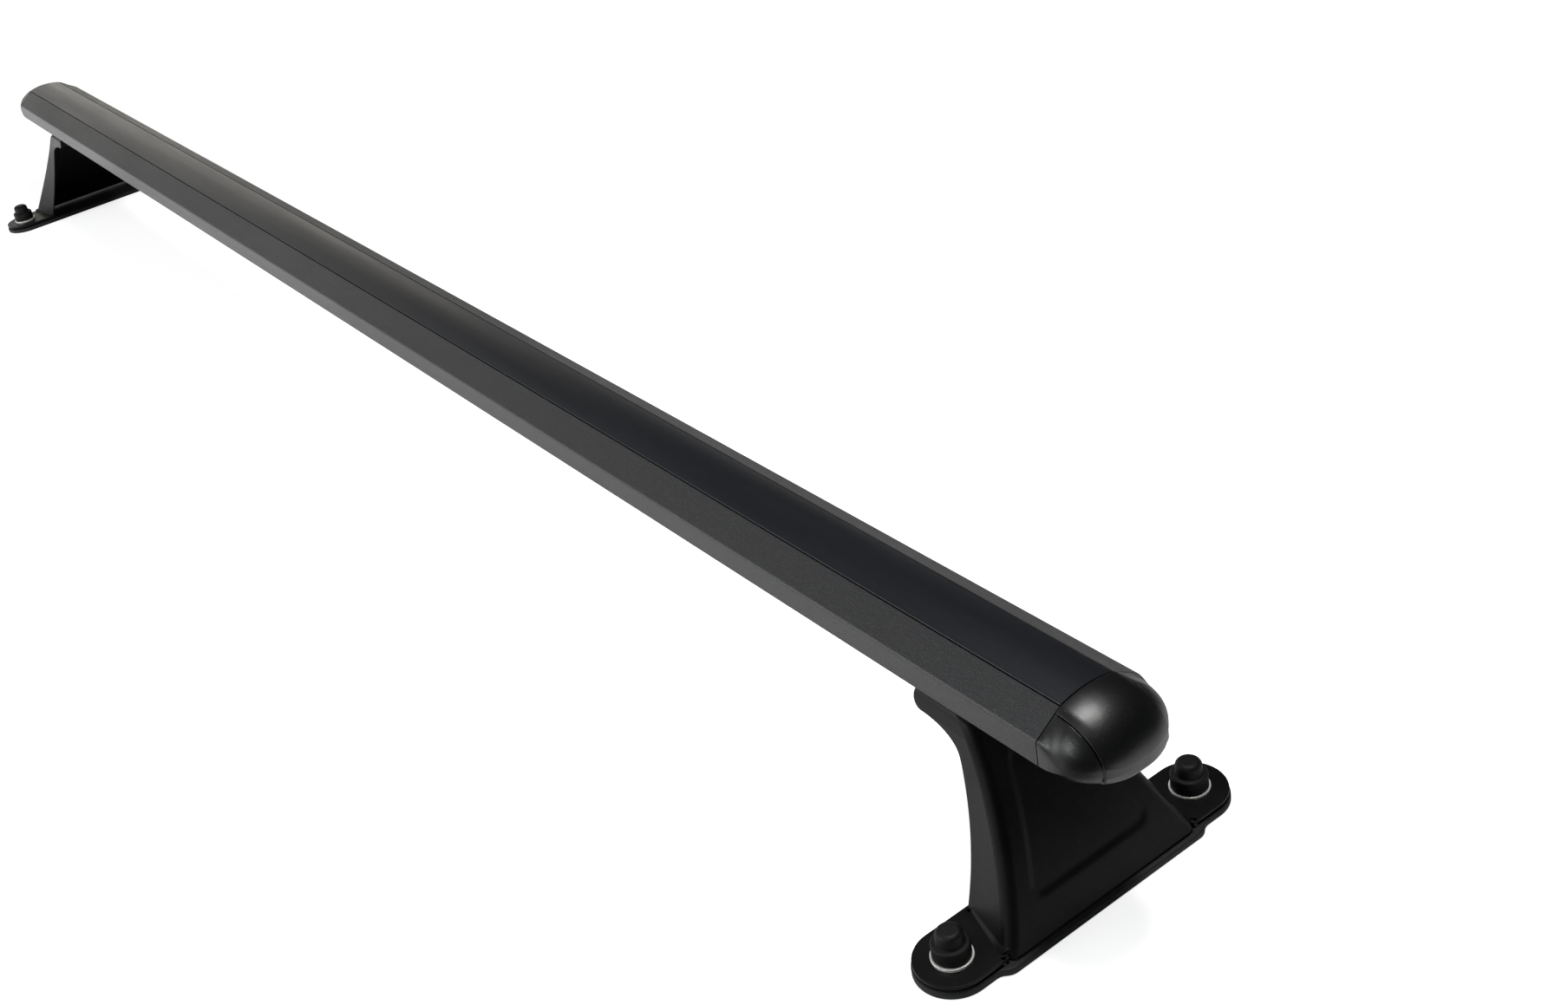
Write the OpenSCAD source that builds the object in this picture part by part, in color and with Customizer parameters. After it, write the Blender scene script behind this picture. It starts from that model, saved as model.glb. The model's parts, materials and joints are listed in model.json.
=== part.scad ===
// Roof rack crossbar: one extruded bar on two pressed steel feet that bolt to a vehicle's own roof studs.
// X runs along the bar, Z is up, and the origin lies on the roof under the middle of the bar.

/* [Bar] */
// Length of the aluminium extrusion, seam to seam
bar_length = 1460; // [1000:10:1800]
// Width of the bar over its creases
bar_width = 59; // [54:0.5:72]
// Height of the bar from its flat underside to the top of the crown
bar_height = 29.4; // [28.6:0.2:36]
// Height of the crease, where the slanting shoulder meets the side
crease_height = 17.4; // [15:0.2:19]
// Height of the side's rounded lower edge
lower_edge_height = 4.6; // [3.5:0.1:6]
// Half width of the flat underside
underside_half = 19; // [18.5:0.5:22]
// Height of the shoulder's upper edge, beside the rubber strip
shoulder_height = 27.2; // [26:0.1:28]
// Wall of the extrusion
wall = 2.2; // [1.8:0.1:2.6]

/* [Rubber strip] */
// Width of the rubber strip on the crown
strip_width = 28.4; // [26:0.2:31]
// Gap on each side of the strip, seen as a dark line
strip_gap = 0.5; // [0.3:0.1:1]
// Depth of the recess that holds the strip, under the crown
strip_depth = 5.8; // [5:0.1:6.5]
// Gap between each end of the strip and the end cap
strip_end_gap = 1.2; // [0.6:0.1:3]

/* [Channels] */
// Width of the mouth of the channel under the bar
slot_mouth = 9; // [8:0.5:11]
// Width inside the channel under the bar
slot_inner = 20.6; // [19:0.2:22]
// Height inside the channel under the bar
slot_height = 7; // [6.5:0.5:8]
// Thickness of the lips of the channel
lip = 3.2; // [2.6:0.1:3.6]

/* [End caps] */
// Length of the end cap from its seam to its nose
cap_length = 29.9; // [26:0.1:40]
// Height of the step between the raised band and the cheeks
cap_step = 1.2; // [0.5:0.1:1.5]
// Half width of the raised band that runs over the nose
band_half = 17.6; // [15.6:0.2:21]
// Height of the foremost point of the nose
nose_height = 8; // [6:0.5:13]
// Length of the prongs that push into the bar
prong_length = 20; // [12:1:35]

/* [Feet] */
// Distance from the left end of the bar to the bolt line of the left foot
left_inset = 32; // [15:1:120]
// Distance from the right end of the bar to the bolt line of the right foot
right_inset = 18; // [15:1:120]
// Distance between the two roof bolts of a foot
bolt_spacing = 144; // [136:1:160]
// Radius of the holes for the roof bolts
bolt_hole_r = 4.5; // [4.3:0.1:5]
// Thickness of the steel sheet
sheet = 3; // [2.5:0.1:3.4]
// Height of the foot from the top of its ears to the bar
leg_height = 81.8; // [74:0.2:100]
// Gap between the washers and the flanks of the leg at its base
flank_gap = 5.5; // [4.5:0.5:10]
// Half width of the leg under the bar
top_half = 25; // [22:0.5:27]
// Radius of the ears' round ends
ear_r = 17.5; // [16:0.5:19]
// Reach of the top plate inboard of the bolt line
plate_reach = 65; // [58:1:72]
// Length of the top plate along the bar
plate_run = 33; // [31:0.5:38]
// Depth of the recess pressed into the panel
press_depth = 1.6; // [0.8:0.1:2]
// Width of the plain border round the pressed recess
press_border = 16.5; // [13:0.5:19]

/* [Foot pads] */
// Thickness of the rubber pad
pad_thick = 3.5; // [3:0.5:10]
// Margin of the pad round the ears
pad_margin = 0.6; // [0.4:0.1:2.5]

/* [Roof bolts] */
// Outer radius of the plain washer
washer_r = 9.5; // [9.2:0.1:10]
// Thickness of the plain washer
washer_t = 1.6; // [1.2:0.1:2]
// Width across the flats of the nut
nut_af = 13; // [12.5:0.1:13.5]
// Height of the nut
nut_h = 6.5; // [5.5:0.1:7]
// Height of the nut cover over the washer
cover_h = 14; // [12:0.2:16]
// Wall of the nut cover
cover_wall = 1.1; // [1:0.1:1.6]

/* [Clamp bolts] */
// Distance between the two clamp bolts of a foot
clamp_pitch = 12.6; // [12.2:0.2:13.4]
// Thickness of the channel nut
channel_nut_t = 5; // [4:0.5:6]
// Clearance round the channel nut
channel_gap = 0.4; // [0.3:0.1:0.6]

/* [Hidden] */
FIXED = ["bar", "rubber_strip", "end_cap_left", "end_cap_right"];
FOOT = ["leg", "foot_pad", "channel_nut", "clamp_bolt_inner", "clamp_bolt_outer",
    "clamp_washer_inner", "clamp_washer_outer", "washer_front", "washer_rear",
    "nut_front", "nut_rear", "nut_cover_front", "nut_cover_rear"];
$fn = 48;

ear_z = pad_thick + sheet;
bar_z = ear_z + leg_height;
bar_half = bar_width / 2;
strip_half = strip_width / 2;
recess_half = strip_half + strip_gap;
recess_z = bar_height - strip_depth;
bolt_y = bolt_spacing / 2;
base_half = bolt_y - washer_r - flank_gap;
bolt_r = 4;
eps = 0.01;

// Smooth step from 0 to 1 as v goes from a to b
function ease(v, a, b) = let (t = min(1, max(0, (v - a) / (b - a)))) t * t * (3 - 2 * t);
// Linear blend between a and b
function mix(a, b, t) = a + (b - a) * t;
// Mirror image of a list of points in Y, in reverse order
function other_side(pts) = [for (i = [len(pts) - 1:-1:0]) [-pts[i][0], pts[i][1]]];
// Points of an arc
function arc(c, r, a0, a1, n) = [for (i = [0:n]) let (a = mix(a0, a1, i / n)) c + r * [cos(a), sin(a)]];

// Bar section, as [Y, height over the underside]

corner_r = 1.8;
// Crown of the strip: a shallow curve from the groove to the middle
function crown(y) = shoulder_height + (bar_height - shoulder_height) * (1 - pow(abs(y) / recess_half, 2));
// Outer outline of one side, from the underside to the groove
function side_outline(r = corner_r) = concat(
    [[underside_half, 0]],
    arc([bar_half - 0.1 - r, lower_edge_height + r * 0.8], r, -62, 0, 4),
    arc([bar_half - 2.6, crease_height - 1], 2.4, 2, 53, 4),
    [[recess_half, shoulder_height]]);

module profile_to_bar(length) {
    rotate([90, 0, 90]) linear_extrude(length) children();
}

module both_sides() {
    children();
    mirror([1, 0]) children();
}

module rectangle(half, z0, z1) {
    translate([-half, z0]) square([2 * half, z1 - z0]);
}

channel_top = lip + slot_height;
upper_floor = channel_top + wall;
upper_top = recess_z - wall;
upper_half = 8.5;
chamber_inner = slot_inner / 2 + wall;
chamber = [[chamber_inner, wall], [underside_half, wall],
    [bar_half - wall - 0.3, lower_edge_height + 1.6], [bar_half - wall - 0.3, crease_height - 1.2],
    [bar_half - wall - 7.6, upper_top], [chamber_inner, upper_top]];
strip_neck = 4.6;
neck_gap = 0.4;

module bar_section() {
    side = side_outline();
    difference() {
        polygon(concat(side, [[recess_half, recess_z]], other_side(concat(side, [[recess_half, recess_z]]))));
        both_sides() polygon(chamber);
        rectangle(slot_mouth / 2, -1, lip + eps);
        rectangle(slot_inner / 2, lip, channel_top);
        rectangle(upper_half, upper_floor, upper_top);
        rectangle(strip_neck + neck_gap, upper_top - eps, recess_z + 1);
    }
}

module bar() {
    color("#1c1d20")
    translate([-bar_length / 2, 0, bar_z]) profile_to_bar(bar_length) bar_section();
}

module strip_section() {
    n = 8;
    top = [for (i = [n:-1:-n]) let (y = strip_half * i / n) [y, crown(y)]];
    // Neck and barb of the root that snaps into the upper channel
    root = [[strip_neck, recess_z], [strip_neck, upper_top - neck_gap],
        [strip_neck + 2.4, upper_top - neck_gap], [strip_neck - 1, upper_top - 3.4]];
    polygon(concat(top, [[-strip_half, recess_z]], [for (p = root) [-p[0], p[1]]],
        [for (i = [3:-1:0]) root[i]], [[strip_half, recess_z]]));
}

strip_length = bar_length - 2 * strip_end_gap;

module rubber_strip() {
    color("#2a2d33")
    translate([-strip_length / 2, 0, bar_z]) profile_to_bar(strip_length) strip_section();
}

// End caps, lofted from the bar's section to a round nose

cap_levels = 12;
// Slight hollow of the cap's underside
cap_hollow = 0.3;
// How blunt the cap is: in plan, over its top and at its lower edge
plan_power = 2.5;
top_power = 1.9;
edge_power = 0.3;
// Share of the length over which the section turns into the nose's oval, and the oval's widest height
oval_from = 0.75;
oval_widest = 11;
// One side of the cap's section at the seam, standing proud of the bar by out below the groove
function cap_half(out, drop) = let (side = side_outline()) concat(
    [for (f = [0, 0.55]) [underside_half * f, cap_hollow * (1 - f * f) - out * 0.3]],
    [for (p = side) p + out * (p[1] > shoulder_height - 0.1 ? [0.3, 0]
        : p[0] > underside_half + 0.1 ? [0.95, 0.1] : [0.2, -0.3])],
    [for (f = [0.72, 0.4]) [recess_half * f, crown(recess_half * f) - drop]]);
// The section's outline round the axis of the cap, as [Y, height]
function cap_ring(out, drop) = let (h = cap_half(out, drop)) concat(
    h, [[0, bar_height - drop]], [for (i = [len(h) - 1:-1:1]) [-h[i][0], h[i][1]]]);
// Point of the nose's oval in the same direction as p: round above its widest height, squarer below
function nose_point(p) = let (a = atan2(p[1] - oval_widest, p[0] * 0.6),
    q = p[1] > oval_widest ? 1 : pow(pow(abs(cos(a)), 4) + pow(abs(sin(a)), 4), 0.25),
    up = p[1] > oval_widest ? bar_height - oval_widest : oval_widest)
    [bar_half * cos(a) / q, oval_widest + up * sin(a) / q];

module cap_loft(out, drop, length) {
    ring = cap_ring(out, drop);
    n = len(ring);
    pts = [for (k = [0:cap_levels]) let (u = sin(90 * k / cap_levels) * 0.9985,
        wide = pow(1 - pow(u, plan_power), 1 / plan_power), high = pow(1 - pow(u, top_power), 1 / top_power),
        m = ease(u, 0, oval_from))
        for (p = ring) let (w = mix(p, nose_point(p), m),
            s = w[1] >= nose_height ? high : pow(wide, edge_power))
        [u * length, w[0] * wide, nose_height + (w[1] - nose_height) * s]];
    sides = [for (k = [0:cap_levels - 1]) for (i = [0:n - 1]) let (a = k * n + i, b = k * n + (i + 1) % n)
        each [[a, a + n, b + n], [a, b + n, b]]];
    ends = [[for (i = [0:n - 1]) i], [for (i = [n - 1:-1:0]) cap_levels * n + i]];
    polyhedron(pts, concat(sides, ends), convexity = 4);
}

prong_gap = 0.3;
// The raised band starts this far behind the seam
band_start = 0.1;

module end_cap() {
    color("#222326")
    translate([bar_length / 2, 0, bar_z]) {
        cap_loft(0, 0.6, cap_length - cap_step);
        difference() {
            translate([band_start, 0, 0]) cap_loft(cap_step, 0, cap_length - band_start);
            for (s = [0, 1]) mirror([0, s, 0]) translate([-1, band_half, -bar_height])
                cube([2 * cap_length, bar_width, 3 * bar_height]);
        }
        for (s = [0, 1]) mirror([0, s, 0]) translate([-prong_length, 0, 0]) profile_to_bar(prong_length + 2)
            polygon([[chamber_inner + prong_gap, wall + prong_gap],
                [underside_half - 1, wall + prong_gap],
                [underside_half + 3, lower_edge_height + 1],
                [underside_half + 3, upper_top - 2],
                [underside_half - 1, upper_top - prong_gap],
                [chamber_inner + prong_gap, upper_top - prong_gap]]);
    }
}

// Feet are drawn for the right side, with X = 0 on the bolt line and Z = 0 on top of the ears

base_front = 18.5;
// Outer face of the panel: steep at the base, leaning inboard to the top plate
function front_x(z) = let (t = z / leg_height)
    base_front - (base_front + plate_reach - plate_run) * (0.68 * t + 0.32 * t * t);
// Half width of the leg at height z
function half_y(z) = let (t = min(1, max(0, z / leg_height)))
    mix(base_half, top_half, 1.34 * t - 0.34 * t * t);
// How much narrower the open side is than the panel
toe = 8.5;
function toe_in(z) = toe * (1 - min(1, z / leg_height));
tab_depth = 9.8;
tab_r = 5;
tab_reach = 21.8;
tab_flare = 12;
tab_z = leg_height - tab_depth;
inner_base = 16.5;
// Inner edge of the side flanges: a long concave curve
function inner_curve(z) = let (t = z / leg_height)
    -inner_base - (plate_reach - inner_base - tab_reach) * (0.4 * t + 0.6 * t * t);
// The same edge with the round tab that it ends in under the bar
function inner_x(z) = z <= tab_z - tab_flare ? inner_curve(z)
    : z <= tab_z ? let (t = (z - tab_z + tab_flare) / tab_flare)
        inner_curve(z) - (plate_reach - tab_r + inner_curve(tab_z)) * (1 - sqrt(1 - pow(t, 2.6)))
    : z <= tab_z + tab_r ? -plate_reach + tab_r * (1 - sqrt(1 - pow(1 - (z - tab_z) / tab_r, 2)))
    : -plate_reach;
bend_r = 5.5;
top_bend = 4;
front_bend = 6.5;
press_low = 12;
low_levels = concat([-sheet, 0, press_low * 0.33, press_low * 0.75, press_low, press_low + 2.5],
    [for (i = [1:8]) mix(press_low + 1.5, tab_z - tab_flare, i / 9)]);
press_high = tab_z - 4;
press_edge = 2.2;
// Depth and half width of the pressed recess at height z
function press_at(z) = ease(z, press_low, press_low + 3) * (1 - ease(z, press_high - 4, press_high));
function press_half(z) = max(4, half_y(z) - press_border
    - 5 * (1 - ease(z, press_low, press_low + 7)) - 3 * ease(z, press_high - 9, press_high));

// How far a bend of outer radius r has turned in at height z, on the face set in by inset
function bend_in_at(z, r, inset) = let (over = min(r - inset, max(0, z - (leg_height - r))))
    r - inset - sqrt((r - inset) * (r - inset) - over * over);

// Half of a horizontal section through the leg, from the open side to the middle of the panel.
// The cavity is the same form, set in by the sheet.
function half_ring(z, inset, open_x) = let (
    round_in = bend_in_at(z, top_bend, inset),
    front_in = bend_in_at(z, front_bend, inset),
    xf = front_x(z) - inset * 1.16 - front_in,
    yf = half_y(z) - inset * 1.1 - round_in,
    yi = half_y(z) - toe_in(z) - inset * 1.1 - round_in,
    a = atan2(yf - yi, xf - open_x),
    r = max(1.5, bend_r - inset),
    c = [xf - r, yf - r * (1 + sin(a))],
    ph = press_half(z), pd = press_depth * press_at(z))
    concat([[open_x, yi]],
        [for (i = [0:4]) let (t = mix(90 + a, 0, i / 4)) c + r * [cos(t), sin(t)]],
        [[xf, ph + press_edge], [xf - pd * 0.5, ph + press_edge / 2], [xf - pd, ph], [xf - pd, ph * 0.45]]);

module leg_loft(levels, inset, past) {
    rings = [for (l = levels) let (h = half_ring(l[0], inset, l[1] + past))
        [for (p = h) [p[0], -p[1], l[0]], for (i = [len(h) - 1:-1:0]) [h[i][0], h[i][1], l[0]]]];
    n = len(rings[0]);
    m = len(rings) - 1;
    sides = [for (k = [0:m - 1]) for (i = [0:n - 1]) let (a = k * n + i, b = k * n + (i + 1) % n)
        each [[a, a + n, b + n], [a, b + n, b]]];
    ends = [[for (i = [0:n - 1]) i], [for (i = [n - 1:-1:0]) m * n + i]];
    polyhedron([for (r = rings) each r], concat(sides, ends), convexity = 8);
}

tab_levels = [for (t = [1, 0.8, 0.6, 0.38, 0.2, 0.08, 0.025, 0]) tab_z - t * tab_flare];
round_levels = [for (t = [0.3, 1.2, 2.6, 5]) tab_z + t * tab_r / 5];
top_bend_steps = [0, 25, 50, 75, 90];
top_levels = [for (a = top_bend_steps) leg_height - top_bend + top_bend * sin(a)];
outer_levels = [for (z = concat(low_levels, tab_levels, round_levels, top_levels)) [z, inner_x(z)]];
// The cavity stops behind the end lip above the tab's lower edge
cavity_levels = concat([[-sheet - 1, -30]], [for (z = low_levels) [z, inner_x(z) - 12]],
    [for (z = tab_levels) [z - eps, inner_x(z) - 12]],
    [for (z = [tab_z + 0.2, tab_z + 3.5]) [z, sheet - plate_reach]],
    [for (a = top_bend_steps) [leg_height - top_bend + (top_bend - sheet) * sin(a), sheet - plate_reach]]);

bend_in = [3 - inner_base, toe + 0.5 - base_half];
bend_out = [base_front - 3.5, 0.5 - base_half];
bend_angle = atan2(bend_out[1] - bend_in[1], bend_out[0] - bend_in[0]);
bend_length = norm(bend_out - bend_in);
fillet_r = 3;
notch_r = 1.4;
// Width of the foot of the panel beside each ear
foot_strip = 4.5;

// Flat outline of one ear, grown by a margin
module ear_outline(grow) {
    translate([0, -bolt_y]) circle(ear_r + grow);
    polygon([[-ear_r - grow, -bolt_y], [-ear_r - grow, bend_in[1] + 1], [ear_r + grow, bend_out[1] + 1],
        [ear_r + grow, -bolt_y]]);
}

module ear() {
    difference() {
        union() {
            translate([0, 0, -sheet]) linear_extrude(sheet) ear_outline(0);
            // Bend from the ear up into the flange
            translate([bend_in[0], bend_in[1], 0]) rotate([90, 0, bend_angle + 90])
                linear_extrude(bend_length)
                polygon(concat([[2.8, -1], [2.8, fillet_r * 0.9]],
                    [for (a = [0:15:90])
                        [0.6 - fillet_r * sin(a) * 0.95, fillet_r * (1 - cos(90 - a)) * 0.9]],
                    [[-fillet_r, -1]]));
        }
        translate([0, -bolt_y, -sheet - 1]) cylinder(h = sheet + 2, r = bolt_hole_r);
        for (p = [bend_in - [1.2, 1.4], bend_out + [1.2, -1.2]])
            translate([p[0], p[1], -sheet - 1]) cylinder(h = sheet + 6, r = notch_r, $fn = 24);
    }
}

clamp_r = 3;
clamp_hole_r = 3.4;
clamp_washer_r = 5.8;
clamp_washer_t = 1.6;
clamp_inner_x = sheet - plate_reach + clamp_washer_r + 0.2;
clamp_x = [clamp_inner_x, clamp_inner_x + clamp_pitch];

module leg() {
    color("#26272a")
    difference() {
        union() {
            difference() {
                leg_loft(outer_levels, 0, 0);
                leg_loft(cavity_levels, sheet, 0);
                // The panel ends above the pad
                translate([bend_out[0] - 6, foot_strip - base_half, -sheet - 1])
                    cube([20, 2 * (base_half - foot_strip), sheet + 0.6]);
            }
            for (s = [0, 1]) mirror([0, s, 0]) ear();
        }
        for (x = clamp_x) translate([x, 0, leg_height - sheet - 2]) cylinder(h = sheet + 4, r = clamp_hole_r);
    }
}

// Outline of the foot pad: round ends under the ears, a wider front under the panel
module pad_outline(grow) {
    g = pad_margin + grow;
    for (s = [0, 1]) mirror([0, s]) {
        translate([0, -bolt_y]) circle(ear_r + g);
        polygon([[-ear_r - g, -bolt_y], [-ear_r - g, eps], [base_front + g, eps], [ear_r + g, -bolt_y]]);
        polygon([[0, eps], [0, -base_half - 3 - g], [ear_r + g, -base_half - 3 - g],
            [base_front + 3 + grow, -base_half - 0.5 - grow], [base_front + 3 + grow, eps]]);
    }
}

pad_step = 0.9;

module foot_pad() {
    color("#18191a")
    translate([0, 0, -ear_z]) difference() {
        union() {
            linear_extrude(pad_thick - pad_step) pad_outline(0);
            linear_extrude(pad_thick) pad_outline(-pad_step);
        }
        for (s = [-1, 1]) translate([0, s * bolt_y, -1]) cylinder(h = pad_thick + 2, r = bolt_hole_r);
    }
}

module washer(s) {
    color("#c9ccd0")
    translate([0, s * bolt_y, 0]) difference() {
        cylinder(h = washer_t, r = washer_r);
        translate([0, 0, -1]) cylinder(h = washer_t + 2, r = bolt_r + 0.2);
    }
}

nut_corner = nut_af / 2 / cos(30);

module nut(s) {
    color("#b5b8bc")
    translate([0, s * bolt_y, washer_t]) difference() {
        intersection() {
            cylinder(h = nut_h, r = nut_corner, $fn = 6);
            rotate_extrude() polygon([[0, 0], [nut_af / 2 - 0.1, 0], [nut_corner, 0.5],
                [nut_corner, nut_h - 0.5], [nut_af / 2 - 0.1, nut_h], [0, nut_h]]);
        }
        translate([0, 0, -1]) cylinder(h = nut_h + 2, r = bolt_r);
    }
}

cover_r = nut_corner + 0.05 + cover_wall;
cover_tier = nut_h + 0.8;
cover_top_r = bolt_r + 0.6 + cover_wall;
cover_round = 2;

module nut_cover(s) {
    color("#1a1b1c")
    translate([0, s * bolt_y, washer_t]) rotate_extrude() polygon(concat(
        [[nut_corner + 0.05, 0], [cover_r, 0], [cover_r, cover_tier - 0.9]],
        arc([cover_r - 0.9, cover_tier - 0.9], 0.9, 15, 90, 3),
        [[cover_top_r, cover_tier + 0.1]],
        arc([cover_top_r - cover_round, cover_h - cover_round], cover_round, 0, 90, 5),
        [[0, cover_h], [0, cover_h - cover_wall], [bolt_r + 0.6, cover_h - cover_wall],
            [bolt_r + 0.6, nut_h], [nut_corner + 0.05, nut_h]]));
}

clamp_seat = leg_height - sheet;
clamp_head_h = 4;
channel_nut_z = leg_height + lip + channel_gap;
clamp_tip = channel_nut_z + channel_nut_t + 0.8;

module clamp_washer(x) {
    color("#9da0a4")
    translate([x, 0, clamp_seat - clamp_washer_t]) difference() {
        cylinder(h = clamp_washer_t, r = clamp_washer_r);
        translate([0, 0, -1]) cylinder(h = clamp_washer_t + 2, r = clamp_r + 0.2);
    }
}

module clamp_bolt(x) {
    head_top = clamp_seat - clamp_washer_t;
    color("#8f9296")
    translate([x, 0, head_top]) {
        translate([0, 0, -clamp_head_h]) cylinder(h = clamp_head_h, r = 5 / cos(30), $fn = 6);
        cylinder(h = clamp_tip - head_top, r = clamp_r - 0.05);
    }
}

module channel_nut() {
    color("#8a8d91")
    difference() {
        translate([clamp_x[0] - 8, -slot_inner / 2 + channel_gap, channel_nut_z])
            cube([clamp_pitch + 16, slot_inner - 2 * channel_gap, channel_nut_t]);
        for (x = clamp_x) translate([x, 0, channel_nut_z - 1]) cylinder(h = channel_nut_t + 2, r = clamp_r);
    }
}

module foot_piece(name) {
    if (name == "leg") leg();
    if (name == "foot_pad") foot_pad();
    if (name == "channel_nut") channel_nut();
    if (name == "clamp_bolt_inner") clamp_bolt(clamp_x[0]);
    if (name == "clamp_bolt_outer") clamp_bolt(clamp_x[1]);
    if (name == "clamp_washer_inner") clamp_washer(clamp_x[0]);
    if (name == "clamp_washer_outer") clamp_washer(clamp_x[1]);
    if (name == "washer_front") washer(-1);
    if (name == "washer_rear") washer(1);
    if (name == "nut_front") nut(-1);
    if (name == "nut_rear") nut(1);
    if (name == "nut_cover_front") nut_cover(-1);
    if (name == "nut_cover_rear") nut_cover(1);
}

bar();
rubber_strip();
end_cap();  // end_cap_right
mirror([1, 0, 0]) end_cap();  // end_cap_left
for (n = FOOT) {
    translate([bar_length / 2 - right_inset, 0, ear_z]) foot_piece(n);
    mirror([1, 0, 0]) translate([bar_length / 2 - left_inset, 0, ear_z]) foot_piece(n);
}
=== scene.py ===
import json
import bmesh
import bpy
from math import atan2, cos, degrees, pi, radians, sin, sqrt
from mathutils import Matrix, Vector


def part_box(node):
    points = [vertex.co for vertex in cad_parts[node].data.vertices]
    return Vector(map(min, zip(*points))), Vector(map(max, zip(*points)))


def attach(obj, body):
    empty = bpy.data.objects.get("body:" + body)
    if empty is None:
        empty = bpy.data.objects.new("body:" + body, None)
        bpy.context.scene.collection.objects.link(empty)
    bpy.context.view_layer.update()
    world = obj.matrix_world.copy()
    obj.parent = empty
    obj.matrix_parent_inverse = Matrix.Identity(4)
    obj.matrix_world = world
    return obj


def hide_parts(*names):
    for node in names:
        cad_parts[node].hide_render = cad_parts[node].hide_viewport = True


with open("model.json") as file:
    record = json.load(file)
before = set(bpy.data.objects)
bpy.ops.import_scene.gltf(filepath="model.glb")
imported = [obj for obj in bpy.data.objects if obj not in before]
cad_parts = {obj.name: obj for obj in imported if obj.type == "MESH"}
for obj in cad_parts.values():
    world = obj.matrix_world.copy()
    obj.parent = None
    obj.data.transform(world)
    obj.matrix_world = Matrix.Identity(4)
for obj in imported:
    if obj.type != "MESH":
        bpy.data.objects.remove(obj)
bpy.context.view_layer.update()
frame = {"nodes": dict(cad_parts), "record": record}
nodes = frame["nodes"]
scene = bpy.context.scene
scene.view_settings.view_transform = "Standard"
mm = 0.001
sides = ("left", "right")


# Camera: stands in front of the right end, at eye height, and looks down the bar

view = {
    "place": (1.1550, -0.3766, 0.5619),
    "turn": (58.5799, 9.3572, 53.3540),    # the photograph is tilted by about 9 degrees
    "lens": 40.86,
}


def makeCamera():
    data = bpy.data.cameras.new("camera")
    data.lens = view["lens"]
    data.sensor_width = 36
    data.clip_start = 0.01
    camera = bpy.data.objects.new("camera", data)
    camera.location = view["place"]
    camera.rotation_euler = [radians(angle) for angle in view["turn"]]
    scene.collection.objects.link(camera)
    scene.camera = camera
    print("camera stands", round(Vector(view["place"]).length, 2), "m from the middle of the bar")


makeCamera()


# Node helpers

def addNode(tree, kind, **values):
    node = tree.nodes.new(kind)
    for name, value in values.items():
        if name in node.inputs.keys():
            node.inputs[name].default_value = value
        else:
            setattr(node, name, value)
    return node


def newGroup(name, inputs, outputs):
    group = bpy.data.node_groups.new(name, "ShaderNodeTree")
    for label, value in inputs.items():
        socket = group.interface.new_socket(label, in_out="INPUT", socket_type="NodeSocketFloat")
        socket.default_value = value
    for label, kind in outputs.items():
        group.interface.new_socket(label, in_out="OUTPUT", socket_type=kind)
    return group, group.nodes.new("NodeGroupInput"), group.nodes.new("NodeGroupOutput")


def useGroup(tree, group, **values):
    node = tree.nodes.new("ShaderNodeGroup")
    node.node_tree = group
    for name, value in values.items():
        node.inputs[name].default_value = value
    return node


skinLook = {"detail": 3.0, "roughness": 0.55, "speckHeight": 0.35}
cloudLook = {"detail": 4.0, "roughness": 0.6, "from": 0.3, "to": 0.7}


# Fine skin of a coating, a moulding or rubber: small bumps, with a scatter of brighter grains
def makeSkinGroup():
    group, given, out = newGroup(
        "surfaceSkin", {"Grain": 900.0, "Speck": 2200.0, "Speck Share": 0.2},
        {"Height": "NodeSocketFloat", "Specks": "NodeSocketFloat"})
    link = group.links.new
    place = addNode(group, "ShaderNodeTexCoord")
    grain = addNode(group, "ShaderNodeTexNoise",
                    Detail=skinLook["detail"], Roughness=skinLook["roughness"])
    link(place.outputs["Object"], grain.inputs["Vector"])
    link(given.outputs["Grain"], grain.inputs["Scale"])
    cells = addNode(group, "ShaderNodeTexVoronoi", Randomness=1.0)
    link(place.outputs["Object"], cells.inputs["Vector"])
    link(given.outputs["Speck"], cells.inputs["Scale"])
    pick = addNode(group, "ShaderNodeSeparateColor")
    link(cells.outputs["Color"], pick.inputs["Color"])
    rare = addNode(group, "ShaderNodeMath", operation="LESS_THAN")
    link(pick.outputs["Red"], rare.inputs[0])
    link(given.outputs["Speck Share"], rare.inputs[1])
    lump = addNode(group, "ShaderNodeMath", operation="MULTIPLY_ADD")
    link(rare.outputs[0], lump.inputs[0])
    lump.inputs[1].default_value = skinLook["speckHeight"]
    link(grain.outputs["Fac"], lump.inputs[2])
    link(lump.outputs[0], out.inputs["Height"])
    link(rare.outputs[0], out.inputs["Specks"])
    return group


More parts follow.
